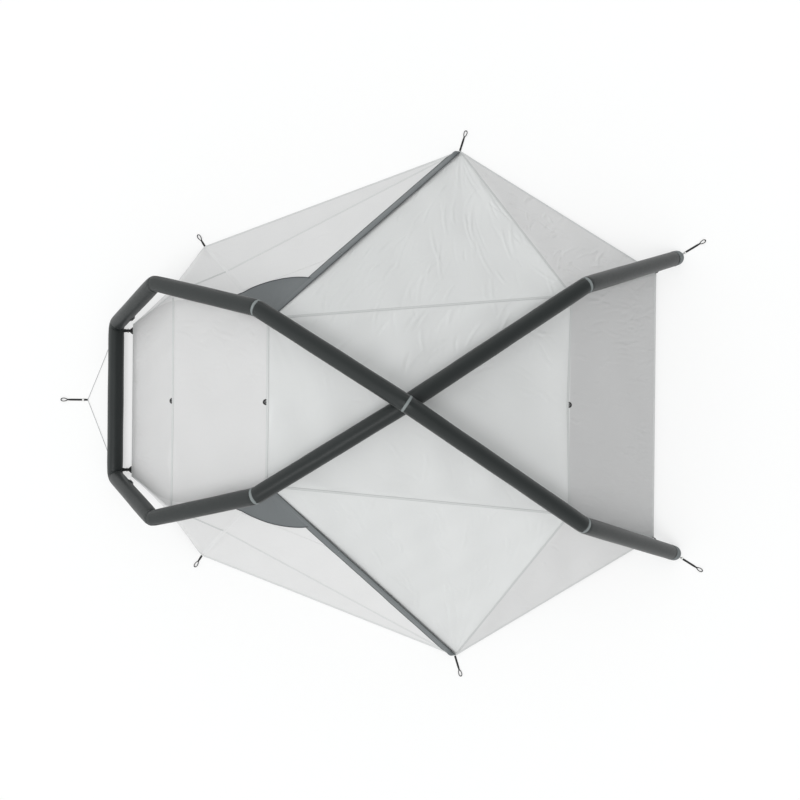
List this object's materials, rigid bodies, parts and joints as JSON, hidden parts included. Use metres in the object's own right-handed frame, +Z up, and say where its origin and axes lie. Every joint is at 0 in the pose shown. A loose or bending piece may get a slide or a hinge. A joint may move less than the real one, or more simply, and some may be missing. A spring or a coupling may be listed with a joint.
{
  "type": "inflatable tent",
  "caption": "Low geodesic tent: an air-filled beam crosses over a translucent fly with side doors, around an inner tent with a groundsheet.",
  "frame": {"origin": "middle of the groundsheet's underside, on the ground under the beam's crossing", "axes": "+X along the tent to its wide head end, +Y to its left side, +Z up"},
  "size_m": [3.838, 3.2474, 1.1132],
  "materials": {
    "beam_cloth": "woven, matt, dark grey green",
    "seam_tape": "light grey tape",
    "cap_ripstop": "grey ripstop",
    "black_plastic": "moulded black",
    "bladder_film": "soft translucent film",
    "fly_cloth": "thin translucent light grey",
    "zip_coil": "black coil",
    "zip_metal": "satin",
    "dark_trim": "dark grey coated cloth",
    "floor_cloth": "coated dark floor cloth",
    "inner_mesh": "thin pale cloth and mesh",
    "webbing": "black webbing",
    "guy_cord": "light grey braided cord"
  },
  "bodies": {
    "root": {"bladder_left": "bladder_film", "bladder_right": "bladder_film", "crossing_band": "seam_tape", "crossing_hanger": "webbing", "fly_canopy": "fly_cloth", "foot_bar_sleeve": "beam_cloth", "foot_beam_sleeve_left": "beam_cloth", "foot_beam_sleeve_right": "beam_cloth", "foot_cap_left": "cap_ripstop", "foot_cap_right": "cap_ripstop", "foot_corner_strap_left": "webbing", "foot_corner_strap_right": "webbing", "foot_hanger_left": "webbing", "foot_hanger_right": "webbing", "foot_leg_sleeve_left": "beam_cloth", "foot_leg_sleeve_right": "beam_cloth", "groundsheet": "floor_cloth", "guy_line": "guy_cord", "head_beam_sleeve_left": "beam_cloth", "head_beam_sleeve_right": "beam_cloth", "head_corner_strap_left": "webbing", "head_corner_strap_right": "webbing", "head_leg_sleeve_left": "beam_cloth", "head_leg_sleeve_right": "beam_cloth", "inner_canopy": "inner_mesh", "knee_band_left": "seam_tape", "knee_band_right": "seam_tape", "knee_hanger_left": "webbing", "knee_hanger_right": "webbing", "shoulder_band_left": "seam_tape", "shoulder_band_right": "seam_tape", "shoulder_beam_sleeve_left": "beam_cloth", "shoulder_beam_sleeve_right": "beam_cloth", "shoulder_hanger_left": "webbing", "shoulder_hanger_right": "webbing", "valve_body_left": "black_plastic", "valve_body_right": "black_plastic", "vent_hood_left": "dark_trim", "vent_hood_right": "dark_trim", "zip_chain_left": "zip_coil", "zip_chain_right": "zip_coil"},
    "fly_door_left": {"fly_door_left": "fly_cloth", "storm_flap_left": "dark_trim"},
    "zip_slider_left": {"zip_slider_left": "zip_metal"},
    "zip_pull_left": {"zip_pull_left": "zip_metal"},
    "valve_cap_left": {"valve_cap_left": "black_plastic"},
    "inner_door_left": {"inner_door_left": "inner_mesh"},
    "side_peg_loop_left": {"side_peg_loop_left": "webbing"},
    "rear_peg_loop_left": {"rear_peg_loop_left": "webbing"},
    "foot_peg_loop_left": {"foot_peg_loop_left": "webbing"},
    "fly_door_right": {"fly_door_right": "fly_cloth", "storm_flap_right": "dark_trim"},
    "zip_slider_right": {"zip_slider_right": "zip_metal"},
    "zip_pull_right": {"zip_pull_right": "zip_metal"},
    "valve_cap_right": {"valve_cap_right": "black_plastic"},
    "inner_door_right": {"inner_door_right": "inner_mesh"},
    "side_peg_loop_right": {"side_peg_loop_right": "webbing"},
    "rear_peg_loop_right": {"rear_peg_loop_right": "webbing"},
    "foot_peg_loop_right": {"foot_peg_loop_right": "webbing"},
    "tail_peg_loop": {"tail_peg_loop": "webbing"}
  },
  "joints": [
    {"name": "fly_door_hinge_left", "type": "hinge", "parent": "root", "child": "fly_door_left", "pos_m": [-0.653, 0.4125, 0.81], "axis": [0.4765, -0.4677, 0.7444], "range_deg": [0, 110]},
    {"name": "zip_slide_left", "type": "slide", "parent": "root", "child": "zip_slider_left", "axis": [-0.5915, -0.6477, 0.4802], "range_m": [0, 1.0372]},
    {"name": "zip_pull_hinge_left", "type": "hinge", "parent": "zip_slider_left", "child": "zip_pull_left", "pos_m": [0.31192, 1.4763, 0.02366], "axis": [0.7567, -0.2404, 0.6079], "range_deg": [0, 85]},
    {"name": "valve_cap_hinge_left", "type": "hinge", "parent": "root", "child": "valve_cap_left", "pos_m": [-1.52747, 0.4706, 0.17874], "axis": [-0.4253, -0.6911, 0.5844], "range_deg": [0, 110]},
    {"name": "inner_door_hinge_left", "type": "hinge", "parent": "root", "child": "inner_door_left", "pos_m": [-0.2224, 0.48724, 0.10105], "axis": [-0.9968, -0.0793, 0.0118], "range_deg": [0, 95]},
    {"name": "side_peg_loop_hinge_left", "type": "hinge", "parent": "root", "child": "side_peg_loop_left", "pos_m": [0.34209, 1.50229, 0.002], "axis": [0.9563, -0.2924, 0], "range_deg": [0, 90]},
    {"name": "rear_peg_loop_hinge_left", "type": "hinge", "parent": "root", "child": "rear_peg_loop_left", "pos_m": [-1.17016, 0.92025, 0.002], "axis": [0.848, 0.5299, 0], "range_deg": [0, 45]},
    {"name": "foot_peg_loop_hinge_left", "type": "hinge", "parent": "root", "child": "foot_peg_loop_left", "pos_m": [1.66283, 0.87835, 0.02], "axis": [0.5225, -0.8526, 0], "range_deg": [0, 60]},
    {"name": "fly_door_hinge_right", "type": "hinge", "parent": "root", "child": "fly_door_right", "pos_m": [-0.653, -0.4125, 0.81], "axis": [-0.4765, -0.4677, -0.7444], "range_deg": [0, 110]},
    {"name": "zip_slide_right", "type": "slide", "parent": "root", "child": "zip_slider_right", "axis": [-0.5915, 0.6477, 0.4802], "range_m": [0, 1.0372]},
    {"name": "zip_pull_hinge_right", "type": "hinge", "parent": "zip_slider_right", "child": "zip_pull_right", "pos_m": [0.31192, -1.4763, 0.02366], "axis": [-0.7567, -0.2404, -0.6079], "range_deg": [0, 85]},
    {"name": "valve_cap_hinge_right", "type": "hinge", "parent": "root", "child": "valve_cap_right", "pos_m": [-1.52747, -0.4706, 0.17874], "axis": [0.4253, -0.6911, -0.5844], "range_deg": [0, 110]},
    {"name": "inner_door_hinge_right", "type": "hinge", "parent": "root", "child": "inner_door_right", "pos_m": [-0.2224, -0.48724, 0.10105], "axis": [0.9968, -0.0793, -0.0118], "range_deg": [0, 95]},
    {"name": "side_peg_loop_hinge_right", "type": "hinge", "parent": "root", "child": "side_peg_loop_right", "pos_m": [0.34209, -1.50229, 0.002], "axis": [-0.9563, -0.2924, 0], "range_deg": [0, 90]},
    {"name": "rear_peg_loop_hinge_right", "type": "hinge", "parent": "root", "child": "rear_peg_loop_right", "pos_m": [-1.17016, -0.92025, 0.002], "axis": [-0.848, 0.5299, 0], "range_deg": [0, 45]},
    {"name": "foot_peg_loop_hinge_right", "type": "hinge", "parent": "root", "child": "foot_peg_loop_right", "pos_m": [1.66283, -0.87835, 0.02], "axis": [-0.5225, -0.8526, 0], "range_deg": [0, 60]},
    {"name": "tail_peg_loop_hinge", "type": "hinge", "parent": "root", "child": "tail_peg_loop", "pos_m": [-1.8588, 0, 0.002], "axis": [0, 1, 0], "range_deg": [0, 90]}
  ]
}
